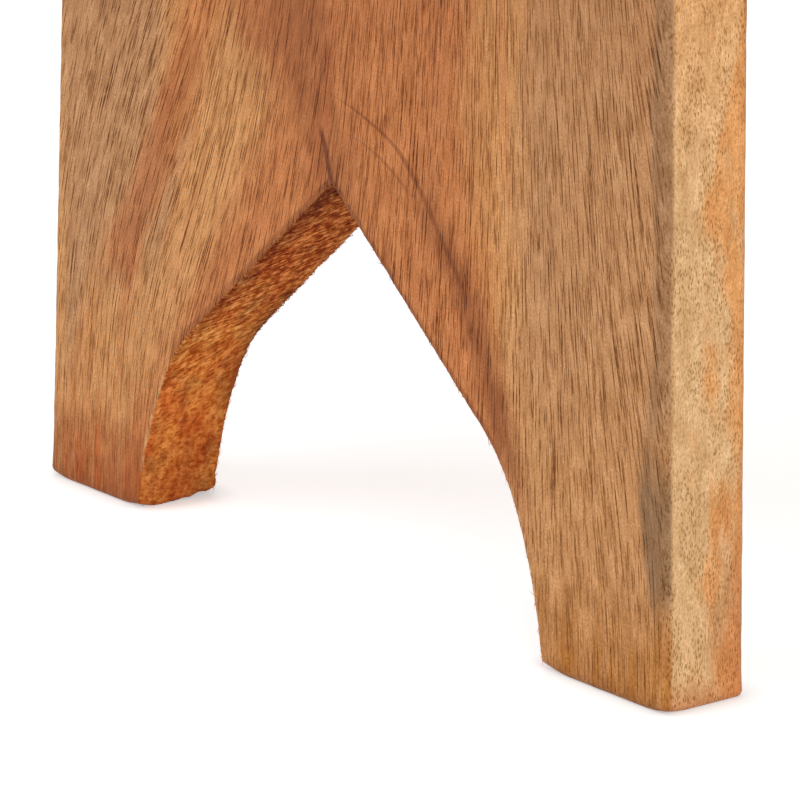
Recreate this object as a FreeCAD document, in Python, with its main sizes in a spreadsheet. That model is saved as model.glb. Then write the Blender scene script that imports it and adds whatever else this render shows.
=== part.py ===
import FreeCAD, Part
import math
import os

import Sketcher

# A low stool in solid wood: a plank seat on two arched end panels, with a rail between them.
# Its length runs along Y and its width along X. The origin is on the floor, z = 0, under the
# middle of the seat. Lengths are in millimetres and angles in degrees.

SIZES = {
    # The whole stool
    "stool_height": 230.0,
    "panel_span": 320.0,
    "joint_gap": 0.1,
    # The seat plank
    "seat_end_overhang": 30.0,
    "seat_side_overhang": 9.0,
    "seat_thick": 25.0,
    "seat_corner_round": 12.0,
    "seat_top_round": 5.0,
    "seat_under_round": 2.5,
    "housing_depth": 7.0,
    # The end panels
    "panel_thick": 25.0,
    "panel_foot_width": 250.0,
    "panel_taper": 2.5,
    "panel_shoulder": 10.0,
    "arris_round": 3.0,
    "sole_round": 2.0,
    # The arch in each end panel, from its apex down to the floor
    "arch_height": 101.0,
    "arch_side_angle": 50.4,
    "knee_radius": 50.0,
    "knee_turn": 24.5,
    "leg_radius": 118.0,
    "leg_turn": 18.5,
    # The rail under the seat
    "rail_depth": 50.0,
    "rail_thick": 22.0,
    "rail_edge_round": 2.0,
    "tenon_length": 14.0,
    "tenon_depth": 32.0,
    "tenon_thick": 12.0,
    # The wood screws, and the plugs that cover the ones in the seat
    "screw_length": 45.0,
    "screw_radius": 2.25,
    "screw_tip": 5.0,
    "head_radius": 4.25,
    "head_height": 3.0,
    "plug_radius": 5.0,
    "plug_height": 6.0,
    "seat_screw_spacing": 140.0,
    "rail_screw_inset": 60.0,
    "rail_screw_sink": 18.0,
}

# Places that several pieces share, as expressions
SEAT_UNDERSIDE = "Sizes.stool_height - Sizes.seat_thick"
SEAT_WIDTH = "Sizes.panel_foot_width + 2 * Sizes.seat_side_overhang"
SEAT_LENGTH = "Sizes.panel_span + 2 * Sizes.seat_end_overhang"
PANEL_MIDDLE = "(Sizes.panel_span - Sizes.panel_thick) / 2"
RAIL_LENGTH = "Sizes.panel_span - 2 * Sizes.panel_thick"
RAIL_SCREW_PLACE = f"(({RAIL_LENGTH}) / 2 - Sizes.rail_screw_inset)"
TONGUE_TOP = f"{SEAT_UNDERSIDE} + Sizes.housing_depth"
SEAT_SCREW_BEARING = "Sizes.stool_height - Sizes.plug_height - Sizes.head_height"
RAIL_SCREW_BEARING = f"{SEAT_UNDERSIDE} - Sizes.rail_depth + Sizes.rail_screw_sink"

UP = FreeCAD.Vector(0, 0, 1)
ACROSS = FreeCAD.Vector(1, 0, 0)
TOLERANCE = 0.001

# How the sketcher names a line's or an arc's ends, its centre, the sketch's origin and its axes
START, END, CENTRE = range(1, 4)
X_AXIS, Y_AXIS = range(-1, -3, -1)
ORIGIN = (X_AXIS, START)


def point(x, y):
    return FreeCAD.Vector(x, y, 0)


def make_sheet(doc):
    """Put every driving dimension in the spreadsheet under its own name."""
    sheet = doc.addObject("Spreadsheet::Sheet", "Sizes")
    for row, (name, value) in enumerate(SIZES.items(), start=1):
        sheet.set(f"A{row}", str(value))
        sheet.setAlias(f"A{row}", name)
    doc.recompute()


def new_body(doc, name):
    body = doc.addObject("PartDesign::Body", name)
    body.Label = name
    return body


def new_sketch(body, name, role, offset=None):
    """Start a sketch on one of the body's own origin planes, moved along its normal."""
    sketch = body.newObject("Sketcher::SketchObject", name)
    sketch.AttachmentSupport = [(origin_plane(body, role), "")]
    sketch.MapMode = "FlatFace"
    if offset:
        sketch.setExpression(".AttachmentOffset.Base.z", offset)
    return sketch


def origin_plane(body, role):
    return next(item for item in body.Origin.OriginFeatures if item.Role == role)


def constrain(sketch, *constraint):
    return sketch.addConstraint(Sketcher.Constraint(*constraint))


def dimension(sketch, name, expression, *constraint):
    """Add a dimension to a sketch and drive it with an expression."""
    index = constrain(sketch, *constraint)
    sketch.renameConstraint(index, name)
    sketch.setExpression(f"Constraints.{name}", expression)


def add_rectangle(sketch, width, depth, middle_height="0"):
    """Draw a rectangle that is centred across the sketch, at a height up its Y axis."""
    corners = [point(-1, -1), point(1, -1), point(1, 1), point(-1, 1)]
    sides = []
    for start, end in zip(corners, corners[1:] + corners[:1]):
        sides.append(sketch.addGeometry(Part.LineSegment(start, end)))
    for side, after in zip(sides, sides[1:] + sides[:1]):
        constrain(sketch, "Coincident", side, END, after, START)
    bottom, right, top, left = sides
    constrain(sketch, "Symmetric", bottom, START, bottom, END, Y_AXIS)
    constrain(sketch, "Horizontal", top)
    constrain(sketch, "Vertical", left)
    constrain(sketch, "Vertical", right)
    dimension(sketch, "width", width, "DistanceX", bottom, START, bottom, END, 2)
    dimension(sketch, "depth", depth, "DistanceY", right, START, right, END, 2)
    base = f"{middle_height} - ({depth}) / 2"
    dimension(sketch, "base", base, "DistanceY", *ORIGIN, bottom, START, -1)


def add_circle(sketch, name, radius, across, along):
    """Draw a circle of a given radius with its centre a given way from the origin."""
    circle = sketch.addGeometry(Part.Circle(point(1, 1), UP, 1))
    dimension(sketch, f"{name}_radius", radius, "Radius", circle, 1)
    dimension(sketch, f"{name}_across", across, "DistanceX", *ORIGIN, circle, CENTRE, 1)
    dimension(sketch, f"{name}_along", along, "DistanceY", *ORIGIN, circle, CENTRE, 1)


def add_screw_pair(sketch, radius, along):
    """Draw the two circles of one panel's pair of seat screws."""
    add_circle(sketch, "left", radius, "-Sizes.seat_screw_spacing / 2", along)
    add_circle(sketch, "right", radius, "Sizes.seat_screw_spacing / 2", along)


def pad(body, name, sketch, length, reverse=False, symmetric=False):
    feature = body.newObject("PartDesign::Pad", name)
    feature.Profile = sketch
    feature.setExpression("Length", length)
    feature.Reversed = reverse
    if symmetric:
        feature.SideType = "Symmetric"
    body.Document.recompute()
    return feature


def pocket(body, name, sketch, depth, reverse=False):
    """Cut a pocket and make sure that it has taken wood away."""
    volume_before = body.Shape.Volume
    feature = body.newObject("PartDesign::Pocket", name)
    feature.Profile = sketch
    feature.setExpression("Length", depth)
    feature.Reversed = reverse
    body.Document.recompute()
    if body.Shape.Volume > volume_before - TOLERANCE:
        raise RuntimeError(f"{name} cuts nothing from {body.Label}")
    return feature


def mirror(body, name, features, role):
    """Repeat features on the other side of one of the body's own origin planes."""
    feature = body.newObject("PartDesign::Mirrored", name)
    feature.Originals = features
    feature.MirrorPlane = (origin_plane(body, role), [""])
    body.Tip = feature
    body.Document.recompute()
    return feature


def round_edges(body, name, radius, wanted):
    """Round every edge of the body that the test picks out."""
    base = body.Tip
    edges = enumerate(base.Shape.Edges, start=1)
    picked = [f"Edge{number}" for number, edge in edges if wanted(edge)]
    feature = body.newObject("PartDesign::Fillet", name)
    feature.Base = (base, picked)
    feature.setExpression("Radius", radius)
    body.Document.recompute()
    return feature


def draw_arch_side(sketch):
    """Draw half of the arch: a straight side from the apex, then the knee and the leg arcs."""
    side_angle = math.radians(SIZES["arch_side_angle"])
    knee_angle = side_angle - math.radians(SIZES["knee_turn"])
    foot_angle = knee_angle - math.radians(SIZES["leg_turn"])
    knee_radius = SIZES["knee_radius"]
    leg_radius = SIZES["leg_radius"]

    knee_rise = knee_radius * (math.sin(side_angle) - math.sin(knee_angle))
    leg_rise = leg_radius * (math.sin(knee_angle) - math.sin(foot_angle))
    side_foot = knee_rise + leg_rise
    apex = point(0, SIZES["arch_height"])
    side_end = point((apex.y - side_foot) * math.tan(side_angle), side_foot)
    toward_side = point(math.cos(side_angle), math.sin(side_angle))
    toward_knee = point(math.cos(knee_angle), math.sin(knee_angle))
    knee_centre = side_end - toward_side * knee_radius
    leg_centre = knee_centre + toward_knee * (knee_radius - leg_radius)

    knee_circle = Part.Circle(knee_centre, UP, knee_radius)
    leg_circle = Part.Circle(leg_centre, UP, leg_radius)
    side = sketch.addGeometry(Part.LineSegment(apex, side_end))
    knee = sketch.addGeometry(Part.ArcOfCircle(knee_circle, knee_angle, side_angle))
    leg = sketch.addGeometry(Part.ArcOfCircle(leg_circle, foot_angle, knee_angle))

    constrain(sketch, "PointOnObject", side, START, Y_AXIS)
    constrain(sketch, "Tangent", side, END, knee, END)
    constrain(sketch, "Tangent", knee, START, leg, END)
    constrain(sketch, "PointOnObject", leg, START, X_AXIS)
    dimension(sketch, "arch_height", "Sizes.arch_height", "DistanceY", *ORIGIN, side, START, apex.y)
    dimension(sketch, "side_slope", "Sizes.arch_side_angle - 90", "Angle", side,
              side_angle - math.pi / 2)
    dimension(sketch, "knee_radius", "Sizes.knee_radius", "Radius", knee, knee_radius)
    dimension(sketch, "leg_radius", "Sizes.leg_radius", "Radius", leg, leg_radius)
    dimension(sketch, "knee_turn", "Sizes.knee_turn", "Angle", knee, side_angle - knee_angle)
    dimension(sketch, "leg_turn", "Sizes.leg_turn", "Angle", leg, knee_angle - foot_angle)
    return side, leg


def draw_half_panel(sketch):
    """Draw the right half of an end panel: arch, foot, tapered side, shoulder and tongue."""
    apex_side, leg = draw_arch_side(sketch)
    shoulder_height = SIZES["stool_height"] - SIZES["seat_thick"]
    foot = SIZES["panel_foot_width"] / 2
    lean = math.radians(SIZES["panel_taper"])
    side_top = foot - shoulder_height * math.tan(lean)
    tongue = side_top - SIZES["panel_shoulder"]
    tongue_top = shoulder_height + SIZES["housing_depth"]
    corners = [
        sketch.Geometry[leg].StartPoint,
        point(foot, 0),
        point(side_top, shoulder_height),
        point(tongue, shoulder_height),
        point(tongue, tongue_top),
        point(0, tongue_top),
        sketch.Geometry[apex_side].StartPoint,
    ]
    edges = []
    for start, end in zip(corners, corners[1:]):
        edges.append(sketch.addGeometry(Part.LineSegment(start, end)))
    for edge, after in zip(edges, edges[1:]):
        constrain(sketch, "Coincident", edge, END, after, START)
    sole, taper, shoulder, cheek, top, middle = edges
    constrain(sketch, "Coincident", leg, START, sole, START)
    constrain(sketch, "Coincident", middle, END, apex_side, START)
    constrain(sketch, "Horizontal", sole)
    constrain(sketch, "Horizontal", shoulder)
    constrain(sketch, "Vertical", cheek)
    constrain(sketch, "Horizontal", top)
    constrain(sketch, "Vertical", middle)
    dimension(sketch, "foot", "Sizes.panel_foot_width / 2", "DistanceX", *ORIGIN, sole, END, foot)
    dimension(sketch, "taper", "Sizes.panel_taper + 90", "Angle", taper, lean + math.pi / 2)
    dimension(sketch, "rise", SEAT_UNDERSIDE, "DistanceY", *ORIGIN, taper, END, shoulder_height)
    dimension(sketch, "shoulder", "Sizes.panel_shoulder", "DistanceX", shoulder, END,
              shoulder, START, SIZES["panel_shoulder"])
    dimension(sketch, "tongue", "Sizes.housing_depth", "DistanceY", cheek, START, cheek, END,
              SIZES["housing_depth"])


def make_end_panel(doc, name):
    """Make an end panel with its outer face on y = 0, standing on the floor."""
    body = new_body(doc, name)
    outline = new_sketch(body, "half_outline", "XZ_Plane")
    draw_half_panel(outline)
    half = pad(body, "half_board", outline, "Sizes.panel_thick", reverse=True)
    mirror(body, "whole_board", [half], "YZ_Plane")

    shoulder_height = SIZES["stool_height"] - SIZES["seat_thick"]

    def is_long_arris(edge):
        return abs(edge.BoundBox.ZLength - shoulder_height) < TOLERANCE

    def is_on_floor(edge):
        return edge.BoundBox.ZMax < TOLERANCE

    round_edges(body, "arris_round", "Sizes.arris_round", is_long_arris)
    round_edges(body, "sole_round", "Sizes.sole_round", is_on_floor)

    mortise = new_sketch(body, "mortise_outline", "XZ_Plane", "-Sizes.panel_thick")
    add_rectangle(
        mortise,
        "Sizes.tenon_thick + 2 * Sizes.joint_gap",
        "Sizes.tenon_depth + 2 * Sizes.joint_gap",
        f"{SEAT_UNDERSIDE} - Sizes.rail_depth / 2",
    )
    pocket(body, "mortise", mortise, "Sizes.tenon_length + Sizes.joint_gap", reverse=True)

    pilots = new_sketch(body, "pilot_circles", "XY_Plane", TONGUE_TOP)
    add_screw_pair(pilots, "Sizes.screw_radius + Sizes.joint_gap", "Sizes.panel_thick / 2")
    pilot_depth = f"Sizes.screw_length - ({SEAT_SCREW_BEARING}) + {TONGUE_TOP} + Sizes.joint_gap"
    pocket(body, "seat_screw_pilots", pilots, pilot_depth)
    return body


def make_seat_board(doc):
    """Make the seat plank with its underside on z = 0, and lift it to its height."""
    body = new_body(doc, "seat_board")
    outline = new_sketch(body, "plank_outline", "XY_Plane")
    add_rectangle(outline, SEAT_WIDTH, SEAT_LENGTH)
    pad(body, "plank", outline, "Sizes.seat_thick")

    top = SIZES["seat_thick"]
    round_edges(body, "corner_round", "Sizes.seat_corner_round",
                lambda edge: abs(edge.BoundBox.ZLength - top) < TOLERANCE)
    round_edges(body, "top_round", "Sizes.seat_top_round",
                lambda edge: edge.BoundBox.ZMin > top - TOLERANCE)
    round_edges(body, "under_round", "Sizes.seat_under_round",
                lambda edge: edge.BoundBox.ZMax < TOLERANCE)

    housing_outline = new_sketch(body, "housing_outline", "XY_Plane")
    draw_housing(housing_outline)
    housing = pocket(body, "housing", housing_outline, "Sizes.housing_depth", reverse=True)

    plug_circles = new_sketch(body, "plug_circles", "XY_Plane", "Sizes.seat_thick")
    add_screw_pair(plug_circles, "Sizes.plug_radius + Sizes.joint_gap", f"-{PANEL_MIDDLE}")
    plug_holes = pocket(body, "plug_holes", plug_circles, "Sizes.plug_height + Sizes.head_height")

    shank_circles = new_sketch(body, "shank_circles", "XY_Plane", "Sizes.seat_thick")
    add_screw_pair(shank_circles, "Sizes.screw_radius + Sizes.joint_gap", f"-{PANEL_MIDDLE}")
    shank_holes = pocket(body, "shank_holes", shank_circles, "Sizes.seat_thick")

    pilot_circle = new_sketch(body, "pilot_circle", "XY_Plane")
    add_circle(pilot_circle, "pilot", "Sizes.screw_radius + Sizes.joint_gap", "0",
               f"-{RAIL_SCREW_PLACE}")
    pilot_depth = (
        f"Sizes.screw_length - ({SEAT_UNDERSIDE}) + {RAIL_SCREW_BEARING} + Sizes.joint_gap"
    )
    pilot = pocket(body, "rail_screw_pilot", pilot_circle, pilot_depth, reverse=True)

    mirror(body, "far_half_cuts", [housing, plug_holes, shank_holes, pilot], "XZ_Plane")
    body.setExpression("Placement.Base.z", SEAT_UNDERSIDE)
    return body


def draw_housing(sketch):
    """Draw the near housing, as long as the panel's tongue and as wide as the panel is thick."""
    reach = (
        "Sizes.panel_foot_width - 2 * Sizes.panel_shoulder + 2 * Sizes.joint_gap"
        f" - 2 * ({SEAT_UNDERSIDE}) * tan(Sizes.panel_taper * 1 deg)"
    )
    breadth = "Sizes.panel_thick + 2 * Sizes.joint_gap"
    add_rectangle(sketch, reach, breadth, f"-{PANEL_MIDDLE}")


def make_stretcher_rail(doc):
    """Make the rail with its top edge on z = 0, and lift it to the underside of the seat."""
    body = new_body(doc, "stretcher_rail")
    section = new_sketch(body, "rail_section", "XZ_Plane")
    add_rectangle(section, "Sizes.rail_thick", "Sizes.rail_depth", "-Sizes.rail_depth / 2")
    pad(body, "rail", section, RAIL_LENGTH, symmetric=True)

    lower = -SIZES["rail_depth"]
    rail_length = SIZES["panel_span"] - 2 * SIZES["panel_thick"]

    def is_lower_arris(edge):
        box = edge.BoundBox
        return box.ZMax < lower + TOLERANCE and box.YLength > rail_length - TOLERANCE

    round_edges(body, "lower_round", "Sizes.rail_edge_round", is_lower_arris)

    tenon_section = new_sketch(body, "tenon_section", "XZ_Plane")
    add_rectangle(tenon_section, "Sizes.tenon_thick", "Sizes.tenon_depth", "-Sizes.rail_depth / 2")
    pad(body, "tenons", tenon_section, f"{RAIL_LENGTH} + 2 * Sizes.tenon_length", symmetric=True)

    head_circle = new_sketch(body, "head_circle", "XY_Plane", "-Sizes.rail_depth")
    add_circle(head_circle, "head", "Sizes.head_radius + 2 * Sizes.joint_gap", "0",
               f"-{RAIL_SCREW_PLACE}")
    head_hole = pocket(body, "head_hole", head_circle, "Sizes.rail_screw_sink", reverse=True)
    shank_circle = new_sketch(body, "shank_circle", "XY_Plane", "-Sizes.rail_depth")
    add_circle(shank_circle, "shank", "Sizes.screw_radius + Sizes.joint_gap", "0",
               f"-{RAIL_SCREW_PLACE}")
    shank_hole = pocket(body, "shank_hole", shank_circle, "Sizes.rail_depth", reverse=True)
    mirror(body, "far_holes", [head_hole, shank_hole], "XZ_Plane")
    body.setExpression("Placement.Base.z", SEAT_UNDERSIDE)
    return body


def make_wood_screw(doc):
    """Turn a wood screw that hangs from z = 0, the plane that its head bears on."""
    body = new_body(doc, "wood_screw")
    profile = new_sketch(body, "screw_profile", "XZ_Plane")
    head_radius = SIZES["head_radius"]
    head_height = SIZES["head_height"]
    screw_radius = SIZES["screw_radius"]
    tip_start = SIZES["screw_tip"] - SIZES["screw_length"]
    corners = [
        point(0, head_height),
        point(head_radius, head_height),
        point(head_radius, 0),
        point(screw_radius, 0),
        point(screw_radius, tip_start),
        point(0, -SIZES["screw_length"]),
    ]
    edges = []
    for start, end in zip(corners, corners[1:] + corners[:1]):
        edges.append(profile.addGeometry(Part.LineSegment(start, end)))
    for edge, after in zip(edges, edges[1:] + edges[:1]):
        constrain(profile, "Coincident", edge, END, after, START)
    crown, rim, bearing, shank, tip, axis = edges
    constrain(profile, "Horizontal", crown)
    constrain(profile, "Vertical", rim)
    constrain(profile, "Horizontal", bearing)
    constrain(profile, "Vertical", shank)
    constrain(profile, "PointOnObject", axis, START, Y_AXIS)
    constrain(profile, "PointOnObject", axis, END, Y_AXIS)
    constrain(profile, "PointOnObject", bearing, START, X_AXIS)
    dimension(profile, "head_radius", "Sizes.head_radius", "DistanceX", *ORIGIN, rim, END,
              head_radius)
    dimension(profile, "head_height", "Sizes.head_height", "DistanceY", rim, END, rim, START,
              head_height)
    dimension(profile, "screw_radius", "Sizes.screw_radius", "DistanceX", *ORIGIN, shank, START,
              screw_radius)
    dimension(profile, "tip", "Sizes.screw_tip", "DistanceY", tip, END, tip, START,
              SIZES["screw_tip"])
    dimension(profile, "length", "Sizes.screw_length", "DistanceY", tip, END, *ORIGIN,
              SIZES["screw_length"])
    turned = body.newObject("PartDesign::Revolution", "turned_screw")
    turned.Profile = profile
    turned.ReferenceAxis = (profile, ["V_Axis"])
    doc.recompute()
    return body


def make_wood_plug(doc):
    plug = doc.addObject("Part::Cylinder", "wood_plug")
    plug.setExpression("Radius", "Sizes.plug_radius")
    plug.setExpression("Height", "Sizes.plug_height")
    return plug


def make_group(doc, name, master, places, height, upside_down=False):
    """Group copies of one fastener, each at its own place across and along the stool."""
    copies = []
    for number, (across, along) in enumerate(places, start=1):
        copy = doc.addObject("App::Link", f"{name}_{number}")
        copy.LinkedObject = master
        if upside_down:
            copy.Placement.Rotation = FreeCAD.Rotation(ACROSS, 180)
        copy.setExpression("Placement.Base.x", across)
        copy.setExpression("Placement.Base.y", along)
        copy.setExpression("Placement.Base.z", height)
        copies.append(copy)
    group = doc.addObject("Part::Compound", name)
    group.Label = name
    group.Links = copies
    return group


def make_fasteners(doc):
    """Make the screws and plugs, one group for each pair of them."""
    screw = make_wood_screw(doc)
    plug = make_wood_plug(doc)
    columns = ["-Sizes.seat_screw_spacing / 2", "Sizes.seat_screw_spacing / 2"]
    plug_seat = "Sizes.stool_height - Sizes.plug_height"
    groups = []
    for end, along in (("near", f"-{PANEL_MIDDLE}"), ("far", PANEL_MIDDLE)):
        places = [(across, along) for across in columns]
        groups.append(make_group(doc, f"{end}_seat_screws", screw, places, SEAT_SCREW_BEARING))
        groups.append(make_group(doc, f"{end}_seat_plugs", plug, places, plug_seat))
    rail_places = [("0", f"-{RAIL_SCREW_PLACE}"), ("0", RAIL_SCREW_PLACE)]
    groups.append(
        make_group(doc, "rail_screws", screw, rail_places, RAIL_SCREW_BEARING, upside_down=True)
    )
    return groups


def make_stool(doc):
    """Make every piece of the stool and put the two end panels in their places."""
    make_sheet(doc)
    near_panel = make_end_panel(doc, "near_end_panel")
    near_panel.setExpression("Placement.Base.y", "-Sizes.panel_span / 2")
    far_panel = make_end_panel(doc, "far_end_panel")
    far_panel.Placement.Rotation = FreeCAD.Rotation(UP, 180)
    far_panel.setExpression("Placement.Base.y", "Sizes.panel_span / 2")
    pieces = [make_seat_board(doc), near_panel, far_panel, make_stretcher_rail(doc)]
    pieces += make_fasteners(doc)
    doc.recompute()
    return pieces


def check(doc, pieces):
    """Stop if any object has failed or any piece has no sound shape."""
    for item in doc.Objects:
        if "Invalid" in item.State or "Error" in item.State:
            raise RuntimeError(f"{item.Label} has failed")
    for piece in pieces:
        if piece.Shape.isNull() or not piece.Shape.isValid():
            raise RuntimeError(f"{piece.Label} has no sound shape")


def export(pieces):
    os.makedirs("parts", exist_ok=True)
    for piece in pieces:
        piece.Shape.exportStep(f"parts/{piece.Label}.step")


def main():
    doc = FreeCAD.newDocument("stool")
    pieces = make_stool(doc)
    check(doc, pieces)
    export(pieces)


main()
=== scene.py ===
"""A low acacia stool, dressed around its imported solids.

Its length runs along Y and its width along X, and it stands on z = 0. Blender lengths are in
metres. The wood is described in millimetres, in a frame of its own for each board: across the
board, through its thickness, and along the grain.
"""

import math
from random import Random

import bmesh
import bpy
from bpy.props import FloatProperty, FloatVectorProperty, IntProperty, PointerProperty
from mathutils import Matrix, Vector, noise


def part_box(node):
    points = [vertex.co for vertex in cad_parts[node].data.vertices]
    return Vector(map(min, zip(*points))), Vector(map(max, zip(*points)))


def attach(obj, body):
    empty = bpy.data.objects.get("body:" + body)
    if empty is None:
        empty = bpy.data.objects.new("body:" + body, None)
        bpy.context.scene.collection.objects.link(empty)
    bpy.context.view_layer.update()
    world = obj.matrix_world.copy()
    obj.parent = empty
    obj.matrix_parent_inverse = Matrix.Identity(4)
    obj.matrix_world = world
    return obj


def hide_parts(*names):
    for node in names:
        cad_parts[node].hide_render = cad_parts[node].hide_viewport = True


bl_info = {
    "name": "Arched Stool",
    "version": (1, 0, 0),
    "blender": (4, 5, 0),
    "location": "View3D > Sidebar > Stool",
    "description": "Dresses a low acacia stool with arched end panels and sets its stage",
    "category": "Object",
}

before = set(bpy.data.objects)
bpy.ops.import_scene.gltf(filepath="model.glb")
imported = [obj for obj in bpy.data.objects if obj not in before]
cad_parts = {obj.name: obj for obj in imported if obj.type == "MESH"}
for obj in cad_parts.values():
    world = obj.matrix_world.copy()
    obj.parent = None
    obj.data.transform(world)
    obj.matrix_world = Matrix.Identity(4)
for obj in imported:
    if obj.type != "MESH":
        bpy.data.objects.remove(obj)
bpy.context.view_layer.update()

MILLIMETRE = 0.001
# A panel's width at the floor in millimetres, and the lean of its sides in degrees
PANEL_WIDTH = 250.0
PANEL_TAPER = 2.5
# Height and width in millimetres of the part of a panel's face on which courses are drawn
COURSE_HEIGHT = 250.0
COURSE_WIDTH = 260.0

# Short names of the nodes that are added most, each with its kind and settings
SHORT_NAMES = {
    "sum": ("Math", {"operation": "ADD"}),
    "subtract": ("Math", {"operation": "SUBTRACT"}),
    "multiply": ("Math", {"operation": "MULTIPLY"}),
    "multiply_add": ("Math", {"operation": "MULTIPLY_ADD"}),
    "maximum": ("Math", {"operation": "MAXIMUM"}),
    "ramp": ("MapRange", {}),
    "fade": ("MapRange", {"interpolation_type": "SMOOTHSTEP"}),
    "tint": ("Mix", {"data_type": "RGBA"}),
    "split": ("SeparateXYZ", {}),
}


def linear(hex_colour):
    """Turn an sRGB hex colour into the linear red, green, blue and alpha that Blender uses."""
    channels = [int(hex_colour[start:start + 2], 16) / 255 for start in (1, 3, 5)]
    steps = [c / 12.92 if c <= 0.04045 else ((c + 0.055) / 1.055) ** 2.4 for c in channels]
    return (*steps, 1.0)


def tone(name, description, hex_colour):
    """A colour that a user can change."""
    return FloatVectorProperty(name=name, description=description, subtype="COLOR", size=4,
                               min=0, max=1, default=linear(hex_colour))


def mm(name, description, millimetres):
    """A length that a user can change, given in millimetres."""
    return FloatProperty(name=name, description=description, unit="LENGTH", subtype="DISTANCE",
                         min=0, precision=5, default=millimetres * MILLIMETRE)


def degrees(name, description, number):
    """An angle that a user can change, given in degrees."""
    return FloatProperty(name=name, description=description, unit="ROTATION", subtype="ANGLE",
                         default=math.radians(number))


class StoolPanelSizes(bpy.types.PropertyGroup):
    """Sizes of the two end panels and of the saw's marks in their arches"""

    foot_width: mm("Foot width", "Width of a panel at the floor", PANEL_WIDTH)
    thickness: mm("Thickness", "Thickness of a panel's board", 25)
    shoulder_height: mm("Shoulder height", "Floor to the underside of the seat", 205)
    tongue_height: mm("Tongue height", "Part of a panel inside the seat", 7)
    shoulder: mm("Shoulder", "Step from a panel's side in to its tongue", 10)
    taper: degrees("Taper", "Lean of a panel's sides from upright", PANEL_TAPER)
    arch_height: mm("Arch height", "Floor to the point of the arch", 101)
    arch_side_angle: degrees("Arch side angle", "Straight side of the arch from upright", 50.4)
    knee_radius: mm("Knee radius", "Radius of the arch's upper bend", 50)
    knee_turn: degrees("Knee turn", "How far the upper bend turns", 24.5)
    leg_radius: mm("Leg radius", "Radius of the arch's lower bend", 118)
    leg_turn: degrees("Leg turn", "How far the lower bend turns", 18.5)
    side_round: mm("Side rounding", "Rounding of a panel's long edges", 3)
    sole_round: mm("Sole rounding", "Rounding of the edges on the floor", 2)
    saw_edge: mm("Sawn edge", "How far sanding has eased the edge of the arch", 0.9)
    saw_pitch: mm("Saw mark pitch", "Distance between marks of the saw", 1.5)
    saw_depth: mm("Saw mark depth", "Depth of the marks of the saw", 0.07)
    saw_wander: mm("Saw wander", "How far the saw strays from its line", 0.2)
    tear_depth: mm("Tear depth", "Depth of the wood torn out by the saw", 0.4)
    torn_lip: mm("Torn lip", "Lip of torn wood where the saw left a foot", 1.3)
    torn_sole: mm("Torn sole", "Height of the wood torn off a foot's sole", 3)
    worn_corner: mm("Worn corner", "Height worn off a foot's front corners", 1.4)
    splinters: IntProperty(name="Splinters", description="Torn fibres on a sawn face",
                           default=1500, min=0)
    splinter_length: mm("Splinter length", "Length of the longest torn fibre", 2.4)
    splinter_width: mm("Splinter width", "Half the width of a torn fibre", 0.09)
    brow_width: mm("Brow width", "Width of the tinted rim before the arch", 1.8)


class StoolWoodColours(bpy.types.PropertyGroup):
    """Colours of the oiled wood"""

    tan: tone("Tan heartwood", "Ground colour of the boards", "#DC985C")
    grey: tone("Grey heartwood", "Cooler, greyish zones of the boards", "#CC9769")
    amber: tone("Amber heartwood", "Warm, light zones of the boards", "#E5A66A")
    red: tone("Red heartwood", "Redder zones of the boards", "#D28049")
    damp: tone("Damp foot", "Orange where a foot has stood wet", "#D8742E")
    stain: tone("Stained foot", "Amber-brown where one has dried", "#BE7C34")
    # Figure also colours the painted shade along the feet's soles
    figure: tone("Figure", "Dark red-brown bands of the figure", "#84431B")
    mineral: tone("Mineral streak", "Grey-black streak along one edge", "#6E5C48")
    sapwood: tone("Sapwood", "Pale golden wood at a board's edge", "#EDBF8A")
    sap_flame: tone("Flamed sapwood", "Orange bands in the pale wood", "#EFA968")
    sawn: tone("Sawn wood", "Raw face that the saw leaves", "#DC7230")
    sawn_light: tone("Light sawn wood", "Fuzzy light patches of it", "#F89C4A")
    # Scorched wood also colours painted shade on the sawn arch and in the check's dark line
    scorch_and_shade: tone("Scorched wood", "Where the saw has burnt the wood", "#5C2412")
    plug: tone("Plugs", "Ground colour of the plugs", "#9C653C")


class StoolScrewSizes(bpy.types.PropertyGroup):
    """Sizes of the wood screws, and the colours of their zinc"""

    length: mm("Length", "From the bearing face to the tip", 45)
    shank_radius: mm("Shank radius", "Radius over the thread", 2.2)
    head_radius: mm("Head radius", "Radius of the head", 4.2)
    head_height: mm("Head height", "Height of the head", 3)
    plain_length: mm("Plain shank", "Shank under the head without a thread", 9)
    tip_length: mm("Tip", "Length that tapers to the tip", 6)
    thread_pitch: mm("Thread pitch", "Rise of one turn of the thread", 2.2)
    thread_depth: mm("Thread depth", "Height of the thread over its core", 0.6)
    recess_width: mm("Recess width", "Width across the driver's cross", 4.2)
    recess_depth: mm("Recess depth", "Depth of the driver's cross", 1.8)
    steps: IntProperty(name="Steps a turn", description="Steps in one turn", default=32, min=8)
    bright: tone("Bright zinc", "Zinc where it is slick", "#C9CCCB")
    bloom: tone("Zinc bloom", "Zinc where it is cloudy", "#9FA4A3")


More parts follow.
